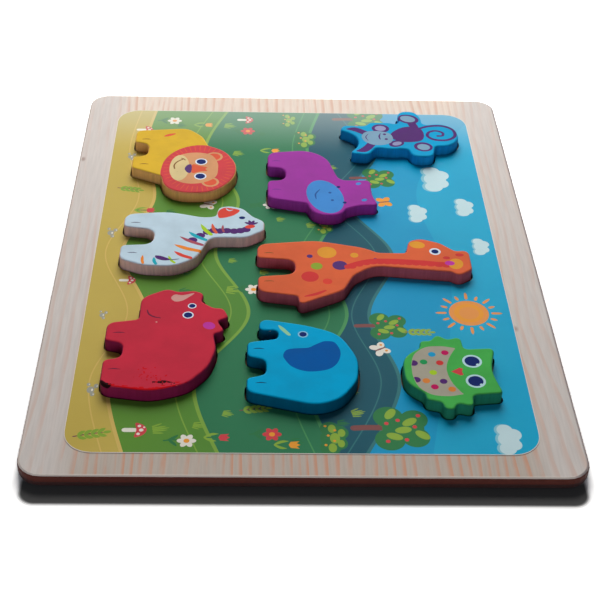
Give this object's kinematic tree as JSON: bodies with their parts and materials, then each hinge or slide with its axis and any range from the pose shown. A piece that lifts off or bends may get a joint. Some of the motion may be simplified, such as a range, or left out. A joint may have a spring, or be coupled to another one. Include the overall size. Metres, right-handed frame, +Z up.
{
  "type": "animal puzzle board",
  "caption": "Wooden lift-out puzzle board with a printed landscape and thick painted animal blocks that stand in matching cut-outs and lift straight up.",
  "frame": {"origin": "centre of the board's underside", "axes": "+X to the right across the board's short side, +Y away from the player along its long side, +Z up"},
  "size_m": [0.225, 0.3, 0.011],
  "materials": {
    "back_wood": "plain board, edges stained reddish brown",
    "front_wood": "pale softwood veneer, satin varnish",
    "printed_paper": "colour print, satin",
    "yellow_paint": "satin paint on wood",
    "purple_paint": "satin paint on wood",
    "sky_blue_paint": "satin paint on wood",
    "white_paint": "satin paint on wood",
    "orange_paint": "satin paint on wood",
    "red_paint": "satin paint on wood",
    "blue_paint": "satin paint on wood",
    "green_paint": "satin paint on wood"
  },
  "bodies": {
    "board": {"back_panel": "back_wood", "front_panel": "front_wood", "scene_sheet": "printed_paper"},
    "lion": {"lion_block": "yellow_paint"},
    "hippo": {"hippo_block": "purple_paint"},
    "monkey": {"monkey_block": "sky_blue_paint"},
    "zebra": {"zebra_block": "white_paint"},
    "giraffe": {"giraffe_block": "orange_paint"},
    "rhino": {"rhino_block": "red_paint"},
    "elephant": {"elephant_block": "blue_paint"},
    "owl": {"owl_block": "green_paint"}
  },
  "joints": [
    {"name": "lion_lift", "type": "slide", "parent": "board", "child": "lion", "axis": [0, 0, 1], "range_m": [0, 0.03]},
    {"name": "hippo_lift", "type": "slide", "parent": "board", "child": "hippo", "axis": [0, 0, 1], "range_m": [0, 0.03]},
    {"name": "monkey_lift", "type": "slide", "parent": "board", "child": "monkey", "axis": [0, 0, 1], "range_m": [0, 0.03]},
    {"name": "zebra_lift", "type": "slide", "parent": "board", "child": "zebra", "axis": [0, 0, 1], "range_m": [0, 0.03]},
    {"name": "giraffe_lift", "type": "slide", "parent": "board", "child": "giraffe", "axis": [0, 0, 1], "range_m": [0, 0.03]},
    {"name": "rhino_lift", "type": "slide", "parent": "board", "child": "rhino", "axis": [0, 0, 1], "range_m": [0, 0.03]},
    {"name": "elephant_lift", "type": "slide", "parent": "board", "child": "elephant", "axis": [0, 0, 1], "range_m": [0, 0.03]},
    {"name": "owl_lift", "type": "slide", "parent": "board", "child": "owl", "axis": [0, 0, 1], "range_m": [0, 0.03]}
  ]
}
